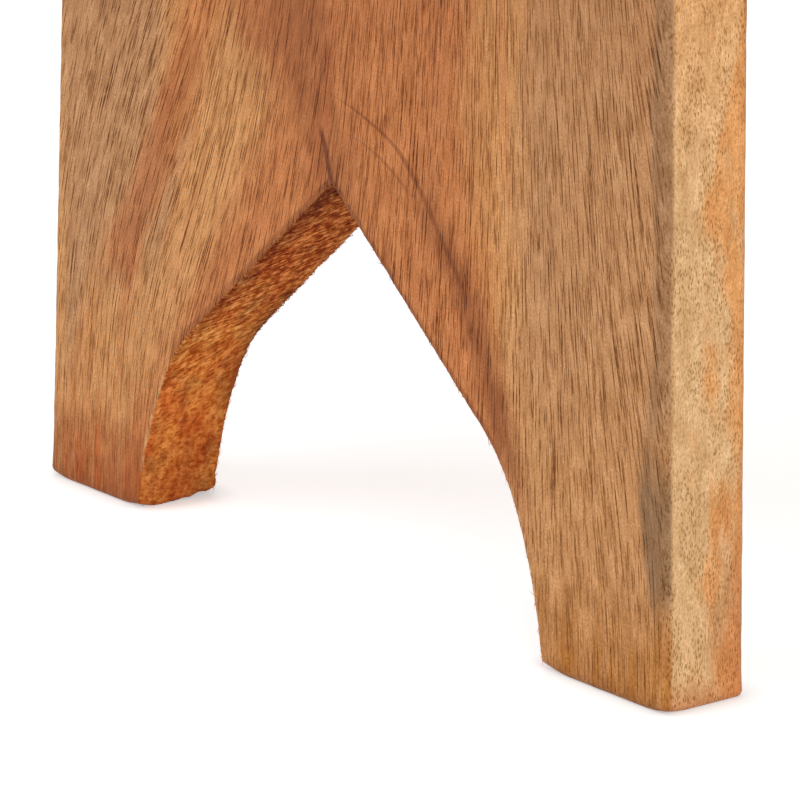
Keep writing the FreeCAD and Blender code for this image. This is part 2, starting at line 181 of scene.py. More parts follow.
def node_adder(tree):
    """Give the function that adds nodes to a tree."""

    def add(kind, *inputs, stops=(), **settings):
        """Add a shader node, choose its settings, and fill or link its inputs.

        Inputs are in order, or named in one dictionary. A node given as an input links its first
        output.
        """
        kind, usual = SHORT_NAMES.get(kind, (kind, {}))
        node = tree.nodes.new("ShaderNode" + kind)
        node.location = (220 * len(tree.nodes), 0)
        for name, value in (usual | settings).items():
            setattr(node, name, value)
        sockets = [socket for socket in node.inputs if socket.enabled]
        pairs = zip(sockets, inputs)
        if inputs and isinstance(inputs[0], dict):
            named = {socket.name: socket for socket in sockets}
            pairs = [(named[name], value) for name, value in inputs[0].items()]
        for socket, value in pairs:
            if isinstance(value, bpy.types.Node):
                value = next(output for output in value.outputs if output.enabled)
            if isinstance(value, bpy.types.NodeSocket):
                tree.links.new(value, socket)
            else:
                socket.default_value = value
        for number, (place, colour) in enumerate(stops):
            elements = node.color_ramp.elements
            stop = elements[number] if number < 2 else elements.new(place)
            stop.position = place
            stop.color = colour
        return node

    return add


def new_material(name):
    """Make an empty material, and give it with the function that adds nodes to it."""
    material = bpy.data.materials.new(name)
    material.use_nodes = True
    material.node_tree.nodes.clear()
    return material, node_adder(material.node_tree)


def piece_material(name, turn=(0, 0, 0), start=(0, 0, 0)):
    """Make a material, with its adder of nodes and the place on its piece in millimetres."""
    material, add = new_material(name)
    here = add("TexCoord").outputs["Object"]
    return material, add, add("Mapping", here, start, turn, (1 / MILLIMETRE,) * 3)


def clouds(add, place, size, seed=None, detail=2.0, roughness=0.5):
    """Noise in clouds of a size in millimetres: across, through and along the board."""
    scaled = add("VectorMath", place, size, operation="DIVIDE")
    links = {"Vector": scaled, "Scale": 1.0, "Detail": detail, "Roughness": roughness}
    if seed is None:
        return add("TexNoise", links)
    return add("TexNoise", links | {"W": seed}, noise_dimensions="4D")


def spots(add, place, size, rim, core):
    """Spots from 0 at the rim to 1 in the core, one in each cell of a size in millimetres."""
    scaled = add("VectorMath", place, size, operation="DIVIDE")
    return add("ramp", add("TexVoronoi", {"Vector": scaled, "Scale": 1.0}), rim, core)


def coated(add, ground, coats):
    """Lay coats over a ground colour in turn: where each lies, how strong it is, and its shade."""
    for amount, strength, shade in coats:
        ground = add("tint", add("multiply", amount, strength), ground, shade)
    return ground


def swayed(add, place, slope):
    """Bend a board's grain: let it sway, and lean it over by a slope that a value gives."""
    across, through, height = add("split", place).outputs
    # The grain leans about a line 80 mm up the board
    shift = add("multiply", add("subtract", height, 80.0), slope)
    upright = add("subtract", across, shift)
    # The sway repeats every 60 mm or so across the board and 150 mm along it
    sway = clouds(add, place, (60.0, 60.0, 150.0), detail=1.0)
    swung = add("multiply_add", sway, 9.0, upright)
    return add("CombineXYZ", swung, through, height)


def heartwood_ground(add, grain, colours, seed):
    """Ground colour of the heartwood: broad warm, grey and red zones that follow the grain."""
    zones = clouds(add, grain, (16.0, 16.0, 150.0), seed, 1.5)
    stops = [(0.30, colours.grey), (0.45, colours.tan), (0.56, colours.amber), (0.70, colours.red)]
    return add("ValToRGB", zones, stops=stops)


def grown_rings(add, place, pith, spacing):
    """Growth rings round a pith that leans away from the board, as soft bands from 0 to 1."""
    off = add("VectorMath", place, pith, operation="SUBTRACT")
    flattened = add("VectorMath", off, (1.0, 1.0, 0.16), operation="MULTIPLY")
    radius = add("VectorMath", flattened, operation="LENGTH")
    ragged = clouds(add, place, (30.0, 30.0, 180.0), detail=1.0)
    radius = add("multiply_add", ragged, 1.4 * spacing, radius)
    turns = add("multiply", radius, 2 * math.pi / spacing)
    return add("fade", add("Math", turns, operation="SINE"), -0.2, 1.0)


def deepened(add, colour, shade, soak):
    """Shade a colour as oil does where more or less of it soaks in: the blue goes the fastest."""
    parts = add("VectorMath", shade, soak, operation="POWER")
    return add("VectorMath", colour, parts, operation="MULTIPLY")


def grown_mottle(add, grain, seed):
    """Light and dark of the wood's surface round 1: mottle, fibres and fine speckle."""
    # Mottle, 4 mm across and 9 mm long, where the grain tips toward the light and away
    mottle = clouds(add, grain, (4.0, 4.0, 9.0), seed, 3.0, 0.6)
    mottle = add("ramp", mottle, 0.3, 0.7, 0.76, 1.15)
    # Fibres, 0.5 mm across: real ones are finer, and would not show at the camera's distance
    fibres = clouds(add, grain, (0.5, 0.5, 5.0), seed, 1.0)
    bright = add("ramp", fibres, 0.3, 0.65, 0.87, 1.06)
    # Speckle of cut cells, 0.4 mm across
    speckle = clouds(add, grain, (0.4, 0.4, 0.6), detail=0.0)
    speckle = add("ramp", speckle, 0.25, 0.75, 0.84, 1.12)
    return add("multiply", add("multiply", mottle, bright), speckle), fibres


def grown_pores(add, grain, seed, calm):
    """Open pores as spindles from 0 to 1: crowded in strips, and short ticks where it is calm."""
    # Pores are 0.2 to 0.3 mm across, drawn up to 0.4 mm so that they show
    long_pores = spots(add, grain, (0.62, 0.62, 22.0), 0.42, 0.26)
    short_pores = spots(add, grain, (0.52, 0.52, 8.0), 0.42, 0.28)
    # Strips where pores crowd are 5 mm wide
    crowd = clouds(add, grain, (5.0, 5.0, 18.0), seed, 2.5)
    long_pores = add("multiply", long_pores, add("ramp", crowd, 0.42, 0.56, 0.2, 1.0))
    short_pores = add("multiply", short_pores, add("ramp", crowd, 0.62, 0.44, 0.1, 0.85))
    pores = add("maximum", long_pores, short_pores)
    # Each pore is darker in some places along it than in others
    dashes = clouds(add, grain, (0.6, 0.6, 2.2), detail=0.0)
    pores = add("multiply", pores, add("ramp", dashes, 0.36, 0.52, 0.55, 1.0))
    # Pores cut aslant on a quartered edge are ticks of 1 mm
    ticks = spots(add, grain, (0.52, 0.52, 1.5), 0.46, 0.24)
    ticks = add("multiply", ticks, add("ramp", crowd, 0.4, 0.56, 0.35, 1.0))
    return add("Mix", calm, pores, ticks)


def finished_wood(add, grain, ground, seed, calm=0.0):
    """Draw acacia on its ground colour under a satin oil, fainter where the wood is calm."""
    shade, fibres = grown_mottle(add, grain, seed)
    pores = grown_pores(add, grain, seed, calm)
    shade = add("Mix", add("multiply", calm, 0.15), shade, 1.0)
    # A pore holds so much oil that it lets only a fifth of the light out
    depth = add("ramp", calm, 0.0, 1.0, -0.8, -0.42)
    shade = add("multiply", shade, add("multiply_add", pores, depth, 1.0))
    # The oil leaves the pores open, so they lie a little lower and stay rougher
    relief = add("multiply_add", fibres, 0.5, add("multiply", pores, -1.0))
    shader = add("BsdfPrincipled", {
        "Base Color": deepened(add, ground, shade, (1.0, 1.32, 1.85)),
        "Roughness": add("ramp", pores, 0.0, 1.0, 0.5, 0.75),
        "Normal": add("Bump", {"Height": relief, "Distance": 0.00012, "Strength": 0.5}),
        "IOR": 1.5, "Specular IOR Level": 0.16, "Coat Weight": 0.03, "Coat Roughness": 0.35,
    })
    add("OutputMaterial", shader)


def oiled_board(name, colours, turn, start, seed, pith):
    """Planed acacia, oiled: ring bands, long fibres and dark open pores under a satin coat."""
    material, add, place = piece_material(name, turn, start)
    grain = swayed(add, place, 0.06)
    ground = heartwood_ground(add, grain, colours, seed)
    rings = grown_rings(add, grain, pith, 9.0)
    ground = coated(add, ground, [(rings, 0.32, colours.figure)])
    finished_wood(add, grain, ground, seed)
    return material


def oiled_plugs(name, colours, turn, seed):
    """Plugs cut across the face of a darker board, then planed and oiled with the seat."""
    material, add, place = piece_material(name, turn)
    finished_wood(add, swayed(add, place, 0.1), colours.plug[:3], seed)
    return material


def across_at(add, height, course):
    """How far across the board a course runs at each height, both in millimetres."""
    scaled = add("Math", height, COURSE_HEIGHT, operation="DIVIDE")
    curve = add("FloatCurve", {"Value": scaled})
    points = curve.mapping.curves[0].points
    for number, (high, across) in enumerate(course):
        place = (high / COURSE_HEIGHT, (across + COURSE_WIDTH / 2) / COURSE_WIDTH)
        if number < 2:
            points[number].location = place
        else:
            points.new(*place)
    curve.mapping.update()
    return add("multiply_add", curve, COURSE_WIDTH, -COURSE_WIDTH / 2)


def between(add, value, low, high, soft):
    """One where a value lies between two limits, fading to nothing past each."""
    rise = add("fade", value, low - soft, low + soft)
    fall = add("fade", value, high + soft, high - soft)
    return add("multiply", rise, fall)


def band_along(add, across, height, course, half_width, low, high, soft):
    """A soft band that follows a course over the face, from one height up to another."""
    off = add("subtract", across, across_at(add, height, course))
    band = add("fade", add("Math", off, operation="ABSOLUTE"), half_width, half_width * 0.2)
    return add("multiply", band, between(add, height, low, high, soft))


def figured_ground(add, across, height, wander, ground, colours):
    """Lay the near panel's own figure on its ground colour, place by place in millimetres."""
    # The edges of a zone that is loose wander by some millimetres
    loose = add("multiply_add", wander, 16.0, across)
    # Red heartwood in the middle, from the left of the arch's point to the arc of figure
    red_left = [(60, -60), (85, -44), (100, -34), (120, -24), (135, -40), (200, -50)]
    red_right = [(0, 84), (45, 72), (84, 58), (105, 52), (125, 50), (200, 58)]
    rise = add("fade", add("subtract", loose, across_at(add, height, red_left)), -9.0, 9.0)
    fall = add("fade", add("subtract", loose, across_at(add, height, red_right)), 8.0, -6.0)
    # Grey heartwood high on the left and all over the right, where it is lighter low down
    left = add("multiply", add("fade", loose, -62.0, -78.0), add("fade", height, 40.0, 85.0))
    right = add("fade", loose, 62.0, 78.0)
    light = add("multiply", right, add("fade", height, 84.0, 40.0))
    # Courses up the board, as height and place across: amber beside the orange streak, the
    # streak, the arc of figure and a line in it, a check in the arch's point, and smoky wood
    glow = [(0, -100), (40, -92), (60, -75), (80, -56), (100, -46), (120, -38), (135, -34),
            (200, -20)]
    streak = [(0, -106), (26, -104), (46, -100), (60, -91.5), (72, -88), (86, -79), (100, -71),
              (114, -65), (128, -58), (140, -52), (160, -44)]
    arc = [(0, 83), (20, 79), (45, 70), (56, 64.5), (70, 59), (84, 51), (97, 41), (105.5, 34),
           (113.5, 25.5), (118.5, 15), (122.5, 2.5), (126, -12), (200, -14)]
    inner = [(0, 50), (100, 34), (106, 27), (110, 20), (112.5, 14), (114, 8), (116, -4), (200, -14)]
    check = [(0, 6), (100, 0.6), (104, -0.8), (110, -2.6), (114, -4.5), (125, -9), (200, -9)]
    smoke = [(0, -22), (200, -24)]
    # Each band has its course, half its width, its lowest and highest place, and how soft its
    # ends are, and then its strength and shade
    bands = [
        (across, streak, 9.0, 60.0, 128.0, 6.0, 0.26, colours.figure),
        (across, arc, 9.0, 46.0, 104.0, 12.0, 0.44, colours.figure),
        (across, arc, 1.8, 84.0, 122.0, 4.0, 0.6, colours.figure),
        (loose, arc, 3.0, 44.0, 90.0, 8.0, 0.35, colours.figure),
        (across, inner, 1.4, 104.0, 114.0, 2.0, 0.4, colours.figure),
        (loose, check, 18.0, 96.0, 150.0, 12.0, 0.36, colours.figure),
        (loose, smoke, 28.0, 122.0, 170.0, 14.0, 0.24, colours.figure),
        # The check's thin dark line is partly scorch and partly painted shade in its crack
        (across, check, 1.5, 100.0, 114.0, 2.5, 0.75, colours.scorch_and_shade),
    ]
    coats = [
        (add("multiply", rise, fall), 0.8, colours.red),
        (left, 0.85, colours.grey),
        (right, 0.75, colours.grey),
        # The board darkens toward its top, and has an amber left edge
        (add("fade", height, 92.0, 165.0), 0.16, colours.figure),
        (light, 0.4, colours.amber),
        (band_along(add, loose, height, glow, 16.0, 24.0, 128.0, 8.0), 0.45, colours.amber),
        (add("fade", across, -114.0, -118.5), 0.8, colours.amber),
        (band_along(add, loose, height, streak, 12.0, 62.0, 160.0, 5.0), 0.4, colours.damp),
    ]
    for line, course, half_width, low, high, soft, strength, shade in bands:
        band = band_along(add, line, height, course, half_width, low, high, soft)
        coats.append((band, strength, shade))
    # The wedge of mineral down the right edge, which goes on up the board as a faint strip
    wedge = [(0, 122), (14, 120.4), (21, 118.6), (27, 117.2), (40, 114.8), (49, 113.4),
             (57, 112.8), (66, 113.6), (84, 116), (106, 115), (128, 113.6), (160, 112.6)]
    inside = add("subtract", across, across_at(add, height, wedge))
    inside = add("fade", add("multiply_add", wander, 4.0, inside), -0.6, 2.6)
    for low, high, soft, strength in ((23.0, 56.0, 8.0, 0.64), (60.0, 240.0, 16.0, 0.4)):
        strip = add("multiply", inside, between(add, height, low, high, soft))
        coats.append((strip, strength, colours.mineral))
    return coated(add, ground, coats)


def damp_feet_and_sole_shade(add, across, height, wander, ground, colours):
    """Lay the stain of a damp floor on both feet of a panel, and painted shade along their soles.
    """
    # Both feet have drawn up dirt and oil, further in some upright columns than in others
    wet = add("fade", add("multiply_add", wander, -34.0, height), 30.0, 5.0)
    columns = add("TexNoise", {"W": add("multiply", across, 0.17), "Scale": 1.0, "Detail": 2.0},
                  noise_dimensions="1D")
    wet = add("multiply", wet, add("ramp", columns, 0.38, 0.6, 0.35, 1.05))
    left = add("ramp", across, 0.0, -40.0)
    right = add("ramp", across, 0.0, 40.0)
    # It has dried in level lines on the left one
    lines = add("multiply_add", wander, 5.0, height)
    tide = add("sum", add("ramp", lines, 24.0, 18.0), add("ramp", lines, 12.5, 10.0, 0.0, 0.4))
    return coated(add, ground, [
        (add("multiply", wet, left), 1.0, colours.damp),
        (add("multiply", wet, right), 0.9, colours.stain),
        (add("multiply", tide, left), 0.27, colours.figure),
        # Painted shade: a contact shadow, darker within 5 mm of the floor
        (add("ramp", height, 5.0, 1.0), 0.3, colours.figure),
    ])


def pale_edge(add, place, ground, colours, seed):
    """Lay pale sapwood over a panel's right edge, with orange flames toward its back."""
    across, through, height = add("split", place).outputs
    taper = math.tan(math.radians(PANEL_TAPER))
    side = add("multiply_add", height, -taper, PANEL_WIDTH / 2)
    round_it = add("subtract", through, add("subtract", side, across))
    wavy = clouds(add, place, (3.0, 3.0, 24.0), seed)
    round_it = add("multiply_add", wavy, 1.6, round_it)
    # Flames are 6 mm deep and 20 mm long
    flame = clouds(add, place, (7.0, 6.0, 20.0), seed + 7.0, roughness=0.6)
    behind = add("ramp", through, 7.0, 22.0, -0.14, 0.15)
    flame = add("ramp", add("sum", flame, behind), 0.46, 0.64)
    # Warmer and deeper toward the top, and browner low down at the back
    flame = add("maximum", flame, add("ramp", height, 110.0, 170.0, 0.0, 0.65))
    sap = add("tint", flame, colours.sapwood, colours.sap_flame)
    low = add("ramp", height, 60.0, 15.0, 0.0, 0.72)
    brown = add("multiply", low, add("ramp", through, 11.0, 22.0))
    brown = add("maximum", brown, add("ramp", height, 9.0, 2.0, 0.0, 0.6))
    sap = add("tint", brown, sap, colours.red)
    calm = add("fade", round_it, -1.6, 1.6)
    return add("tint", add("fade", round_it, 1.6, 3.6), ground, sap), calm


def arch_brow(add, place, height, ground, colours):
    """Tint the rim of wood in front of the sawn arch, which the mesh marks as near_arch."""
    near = add("Attribute", attribute_name="near_arch").outputs["Fac"]
    rim = add("fade", near, 0.15, 0.75)
    # Reddish brown above the knee, where the saw has heated it
    heated = add("multiply", rim, between(add, height, 46.0, 112.0, 8.0))
    # Short torn marks round the arch's point
    marks = add("ramp", clouds(add, place, (1.1, 1.1, 3.0)), 0.53, 0.62, 0.0, 0.65)
    marks = add("multiply", marks, between(add, height, 90.0, 112.0, 7.0))
    # Pale below the knee, where sanding has cut through the oil
    edge = add("ramp", near, 0.6, 0.95)
    edge = add("multiply", edge, between(add, height, 12.0, 40.0, 6.0))
    scuffs = add("TexNoise", {"Vector": place, "Scale": 0.25, "Detail": 3.0})
    scuffs = add("ramp", scuffs, 0.42, 0.56, 0.0, 0.75)
    return coated(add, ground, [
        (heated, 0.5, colours.figure),
        (marks, rim, colours.scorch_and_shade),
        (edge, scuffs, colours.sapwood),
    ])


def oiled_panel(name, colours, turn, start, seed, pith):
    """Planed acacia of a panel: leaning grain, figure or else growth rings, one pale edge."""
    material, add, place = piece_material(name, turn, start)
    across, _, height = add("split", place).outputs
    # The grain leans over by half on the left, stands in the middle and leans back on the right
    slopes = [(0.0, 0.22), (0.10, 0.28), (0.18, 0.37), (0.27, 0.46), (0.34, 0.41), (0.42, 0.31),
              (0.51, 0.18), (0.60, 0.10), (0.68, 0.05), (0.76, -0.06), (0.84, -0.18),
              (0.92, -0.26), (1.0, -0.22)]
    stops = [(share, (slope + 0.5,) * 3 + (1.0,)) for share, slope in slopes]
    share = add("multiply_add", across, 1 / COURSE_WIDTH, 0.5)
    slope = add("subtract", add("ValToRGB", share, stops=stops), 0.5)
    # It comes nearly upright in the feet
    slope = add("multiply", slope, add("ramp", height, 0.0, 80.0, 0.55, 1.0))
    grain = swayed(add, place, slope)
    ground = heartwood_ground(add, grain, colours, seed)
    # Stains and zones of colour have edges that wander, round nothing
    wander = add("subtract", clouds(add, place, (7.0, 7.0, 20.0), seed, 3.0, 0.6), 0.5)
    if pith is None:
        ground = figured_ground(add, across, height, wander, ground, colours)
    else:
        rings = grown_rings(add, grain, pith, 11.0)
        ground = coated(add, ground, [(rings, 0.34, colours.figure)])
    ground = damp_feet_and_sole_shade(add, across, height, wander, ground, colours)
    ground, calm = pale_edge(add, place, ground, colours, seed)
    ground = arch_brow(add, place, height, ground, colours)
    # The pores are fainter in the feet
    calm = add("maximum", calm, add("ramp", height, 60.0, 20.0, 0.0, 0.22))
    finished_wood(add, grain, ground, seed, calm)
    return material


def sawn_face(name, colours, turn, start, seed):
    """Acacia as the saw leaves it: raw, fuzzy, saturated, scorched where the saw has rubbed, with
    painted shade.
    """
    material, add, place = piece_material(name, turn, start)
    _, through, height = add("split", place).outputs
    broad = clouds(add, place, (9.0, 7.0, 12.0), seed, 3.0, 0.6)
    # The wood is lighter round the knee, where the saw went along the fibres
    knee = add("multiply", between(add, height, 36.0, 60.0, 9.0), 0.45)
    pale = add("multiply_add", add("ramp", broad, 0.43, 0.58), 0.8, knee)
    pale = add("multiply", pale, add("ramp", height, 56.0, 74.0, 1.0, 0.35))
    colour = add("tint", pale, colours.sawn, colours.sawn_light)
    # Painted shade at the arch's point, along its front, at the back of the knee and in the foot
    dusk = add("ramp", height, 50.0, 98.0, 0.0, 0.24)
    deep = add("multiply_add", broad, -7.0, through)
    front = add("ramp", deep, 4.0, -2.5, 0.0, 0.42)
    front = add("multiply", front, add("ramp", height, 34.0, 60.0))
    back = add("ramp", add("multiply_add", broad, 7.0, through), 22.0, 27.5, 0.0, 0.6)
    back = add("multiply", back, between(add, height, 26.0, 66.0, 10.0))
    dark = add("maximum", add("sum", dusk, front), back)
    dark = add("maximum", dark, add("ramp", height, 26.0, 0.0, 0.0, 0.34))
    # The painted shade takes the colour of scorched wood
    colour = add("tint", dark, colour, colours.scorch_and_shade)
    # The saw has combed the fibres through the board, level in the foot and aslant above it
    climb = add("ramp", height, 15.0, 50.0, 0.12, -0.42)
    slope = add("CombineXYZ", -0.5, 0.0, climb)
    slant = add("VectorMath", through, slope, place, operation="MULTIPLY_ADD")
    strands = clouds(add, slant, (0.8, 4.2, 0.8), seed, 3.0, 0.65)
    fuzz = clouds(add, place, (1.9, 1.9, 3.2), None, 3.5, 0.65)
    rough = add("multiply_add", strands, 0.55, add("multiply", fuzz, 0.45))
    # Where the saw cut across the fibres, nearer the point, they are torn the deepest
    torn = add("ramp", height, 30.0, 75.0, 0.68, 1.85)
    shade = add("Math", add("ramp", rough, 0.4, 0.59, 0.5, 1.38), torn, operation="POWER")
    colour = deepened(add, colour, shade, (1.0, 1.85, 2.8))
    # Scorch at the front of the arch's point, dark red patches 8 mm across, and torn dark specks
    burnt = clouds(add, place, (8.0, 6.0, 8.0), seed + 9.0, 4.0, 0.7)
    burn = add("multiply", add("ramp", deep, 6.0, -1.0), add("ramp", height, 88.0, 98.0, 0.0, 0.9))
    burn = add("multiply", burn, add("ramp", rough, 0.56, 0.44, 0.3, 1.0))
    burn = add("maximum", burn, add("ramp", burnt, 0.5, 0.62, 0.0, 0.36))
    specks = spots(add, place, (1.3, 3.0, 1.3), 0.34, 0.2)
    specks = add("multiply", specks, add("ramp", burnt, 0.42, 0.6, 0.0, 0.5))
    shader = add("BsdfPrincipled", {
        "Base Color": add("tint", add("maximum", burn, specks), colour, colours.scorch_and_shade),
        "Roughness": 0.85,
        "Normal": add("Bump", {"Height": rough, "Distance": 0.0009, "Strength": 1.0}),
        "IOR": 1.5, "Specular IOR Level": 0.1,
    })
    add("OutputMaterial", shader)
    return material


def zinc_plated(name, colours):
    """Zinc on steel, dipped and rinsed: pale grey with a cloudy bloom, slick where it is bright."""
    material, add, place = piece_material(name)
    # The bloom is in clouds 2 mm across, and rolled steel under it leaves a grit of 0.1 mm
    bloom = clouds(add, place, (2.0, 2.0, 2.0), detail=4.0)
    grit = clouds(add, place, (0.1, 0.1, 0.1))
    shader = add("BsdfPrincipled", {
        "Base Color": add("ValToRGB", bloom, stops=[(0.35, colours.bright), (0.7, colours.bloom)]),
        "Metallic": 1.0,
        "Roughness": add("ramp", bloom, 0.3, 0.7, 0.26, 0.5),
        "Normal": add("Bump", {"Height": grit, "Distance": 0.00002, "Strength": 0.5}),
    })
    add("OutputMaterial", shader)
    return material


def straight(start, end, spacing):
    """Points from start to end, without end itself."""
    count = max(1, round((end - start).length / spacing))
    return [start.lerp(end, step / count) for step in range(count)]


def arch_half(sizes, spacing):
    """Points up the right half of the arch, from the floor to its point, without the point."""
    side_angle = sizes.arch_side_angle
    knee_angle = side_angle - sizes.knee_turn
    foot_angle = knee_angle - sizes.leg_turn
    knee_rise = sizes.knee_radius * (math.sin(side_angle) - math.sin(knee_angle))
    leg_rise = sizes.leg_radius * (math.sin(knee_angle) - math.sin(foot_angle))
    apex = Vector((0, sizes.arch_height))
    side_drop = apex.y - knee_rise - leg_rise
    side_end = apex + Vector((math.tan(side_angle), -1)) * side_drop
    knee_out = Vector((math.cos(side_angle), math.sin(side_angle)))
    leg_out = Vector((math.cos(knee_angle), math.sin(knee_angle)))
    knee_centre = side_end - knee_out * sizes.knee_radius
    leg_centre = knee_centre + leg_out * (sizes.knee_radius - sizes.leg_radius)
    points = []
    bends = [
        (leg_centre, sizes.leg_radius, foot_angle, knee_angle),
        (knee_centre, sizes.knee_radius, knee_angle, side_angle),
    ]
    for centre, radius, low, high in bends:
        count = round(radius * (high - low) / spacing)
        for step in range(count):
            angle = low + (high - low) * step / count
            points.append(centre + Vector((math.cos(angle), math.sin(angle))) * radius)
    return points + straight(side_end, apex, spacing)


def turned_corner(before, corner, after, radius):
    """An arc of points that rounds one corner of an outline."""
    toward = (before - corner).normalized()
    away = (after - corner).normalized()
    half = toward.angle(away) / 2
    reach = radius / math.tan(half)
    middle = corner + (toward + away).normalized() * radius / math.sin(half)
    first = (corner + toward * reach - middle).normalized()
    last = (corner + away * reach - middle).normalized()
    steps = 6
    return [middle + first.slerp(last, step / steps) * radius for step in range(steps + 1)]


def panel_outline(sizes):
    """The panel's outline from the arch's point round by the right foot.

    Each point comes with the rounding of its edges and whether it was sawn.
    """
    fine = 0.35 * MILLIMETRE
    coarse = 2.5 * MILLIMETRE
    arch = arch_half(sizes, fine)
    foot = sizes.foot_width / 2
    top = foot - sizes.shoulder_height * math.tan(sizes.taper)
    outer = Vector((foot, 0))
    shoulder = Vector((top, sizes.shoulder_height))
    toe = turned_corner(arch[5], arch[0], outer, 0.8 * sizes.sole_round)
    heel = turned_corner(arch[0], outer, shoulder, sizes.sole_round)
    kept = [point for point in arch if point.y > toe[0].y]
    tongue_foot = Vector((top - sizes.shoulder, sizes.shoulder_height))
    tongue_top = tongue_foot + Vector((0, sizes.tongue_height))
    crown = Vector((0, tongue_top.y))
    apex = Vector((0, sizes.arch_height))
    saw = sizes.saw_edge
    sole = sizes.sole_round
    tiny = 0.2 * MILLIMETRE
    stretches = [
        (kept[::-1] + toe[:-1], saw, True),
        (straight(toe[-1], heel[0], 3 * fine) + heel[:-1], sole, False),
        (straight(heel[-1], shoulder, coarse), sizes.side_round, False),
        (straight(shoulder, tongue_foot, coarse), tiny, False),
        (straight(tongue_foot, tongue_top, coarse), tiny, False),
        (straight(tongue_top, crown, 4 * coarse), tiny, False),
    ]
    right = [(point, edge, sawn) for points, edge, sawn in stretches for point in points]
    left = [(Vector((-point.x, point.y)), edge, sawn) for point, edge, sawn in reversed(right)]
    return [(apex, saw, True)] + right + [(crown, tiny, False)] + left


def smoothed(values, reach):
    """Average each value of a closed list with its neighbours."""
    count = len(values)
    window = range(-reach, reach + 1)
    return [sum(values[(i + k) % count] for k in window) / len(window) for i in range(count)]


def outward(points):
    """The direction out of the board at each point of its outline, longer at a corner."""
    count = len(points)
    result = []
    for i, point in enumerate(points):
        before = point - points[i - 1]
        after = points[(i + 1) % count] - point
        first = Vector((before.y, -before.x)).normalized()
        second = Vector((after.y, -after.x)).normalized()
        middle = (first + second).normalized()
        result.append(middle * (1 / max(0.5, middle.dot(first))))
    return result


def lumps(along, depth, length, width, seed):
    """Lumps from -1 to 1, of a length along the sawn face and a width through the board."""
    return noise.noise(Vector((along / length, depth / width, seed)))


def saw_relief(sizes, along, depth, seed):
    """How far the sawn face stands out or in at a place along the arch and through the board."""
    slant = along + 0.18 * depth
    beat = lumps(along, depth, 0.009, 0.012, seed)
    ripple = math.sin(2 * math.pi * slant / sizes.saw_pitch + 3 * beat)
    wander = lumps(along, depth, 0.021, 0.03, seed + 5)
    torn = lumps(along, depth, 0.0030, 0.0012, seed + 9)
    woolly = lumps(along, depth, 0.0012, 0.0009, seed + 13)
    pit = min(0.0, torn + 0.25) * sizes.tear_depth
    marks = ripple * sizes.saw_depth * (0.6 + 0.5 * beat) + wander * sizes.saw_wander
    return marks + pit + woolly * 0.35 * sizes.tear_depth


def torn_away(sizes, place, depth, toe, seed):
    """How far the saw has torn a foot's sole away, at the back of its inner corner."""
    behind = max(0.0, depth / sizes.thickness - 0.3) / 0.7
    beside = max(0.0, 1 - max(0.0, abs(place.x) - toe) / (18 * MILLIMETRE))
    ragged = lumps(place.x, depth, 0.004, 0.003, seed)
    fades = max(0.0, 1 - place.y / (9 * MILLIMETRE))
    return sizes.torn_sole * behind ** 1.6 * beside ** 1.5 * fades * (0.9 + 0.4 * ragged)


def worn_off(sizes, place, depth, toe):
    """How far use has worn a foot's sole off, at each of its two front corners."""
    reach = 8 * MILLIMETRE
    off = min(math.hypot(abs(place.x) - corner, depth) for corner in (toe, sizes.foot_width / 2))
    fades = max(0.0, 1 - place.y / reach)
    return sizes.worn_corner * max(0.0, 1 - off / reach) ** 2 * fades


def panel_rings(points, edges, sawn, sizes, seed):
    """Places of the panel's rings from its front to its back, and how near each is to the arch."""
    outs = outward(points)
    along = [0.0]
    for before, after in zip(points, points[1:]):
        along.append(along[-1] + (after - before).length)
    turns = [math.radians(angle) for angle in (0, 22.5, 45, 67.5, 90)]
    rows = 44
    low = 5 * MILLIMETRE
    far_off = [0.0] * len(points)
    near = smoothed([float(is_sawn and spot.y > low) for spot, is_sawn in zip(points, sawn)], 5)
    toe = max(abs(point.x) for point, is_sawn in zip(points, sawn) if is_sawn)
    rings = []
    sides = [("front", turn) for turn in turns] + [("middle", step) for step in range(1, rows)]
    sides += [("back", turn) for turn in reversed(turns)]
    for side, step in sides:
        ring = []
        for i, point in enumerate(points):
            wear = noise.noise(Vector((along[i] / 0.006, seed, 0 if side == "front" else 7)))
            edge = edges[i] * (1 + (0.5 if sawn[i] else 0.12) * wear)
            inset = 0.0
            if side == "middle":
                depth = edge + (sizes.thickness - 2 * edge) * step / rows
            else:
                inset = edge * (1 - math.sin(step))
                depth = edge * (1 - math.cos(step))
            if side == "back":
                depth = sizes.thickness - depth
            relief = 0.0
            if abs(point.x) < toe + MILLIMETRE:
                ripped = (depth / sizes.thickness) ** 5 * max(0.0, 1 - point.y / 0.004)
                relief = sizes.torn_lip * ripped * (0.8 + 0.9 * wear)
            if sawn[i]:
                relief += saw_relief(sizes, along[i], depth, seed) * (1 - inset / edge)
            spot = point + outs[i] * (relief - inset)
            spot.y += torn_away(sizes, point, depth, toe, seed) + worn_off(sizes, point, depth, toe)
            ring.append(Vector((spot.x, depth, max(0.0, spot.y))))
        rings.append((ring, near if side == "front" else far_off))
    # One more ring on the flat front, a brow's width from the arch
    brow = []
    for spot, out, nearness in zip(rings[0][0], outs, near):
        width = sizes.brow_width * nearness + 0.01 * MILLIMETRE
        brow.append(spot - Vector((out.x, 0, out.y)) * width)
    return [(brow, far_off)] + rings


def stand_splinter(mesh, base, out, way, long, wide, thickness):
    """Stand one torn fibre up on a sawn face, rooted under it and drawn out to a point."""
    root = base - out * wide
    aside = way.cross(out).normalized()
    tip = root + way * long
    tip.y = max(-0.0004, min(tip.y, thickness + 0.0009))
    corners = [root + aside * wide, root - aside * wide, root + out * 2.2 * wide, tip]
    for corner in corners:
        corner.z = max(0.0, corner.z)
    verts = [mesh.verts.new(corner) for corner in corners]
    for three in ((0, 1, 3), (1, 2, 3), (2, 0, 3), (2, 1, 0)):
        face = mesh.faces.new([verts[k] for k in three])
        face.material_index = 1


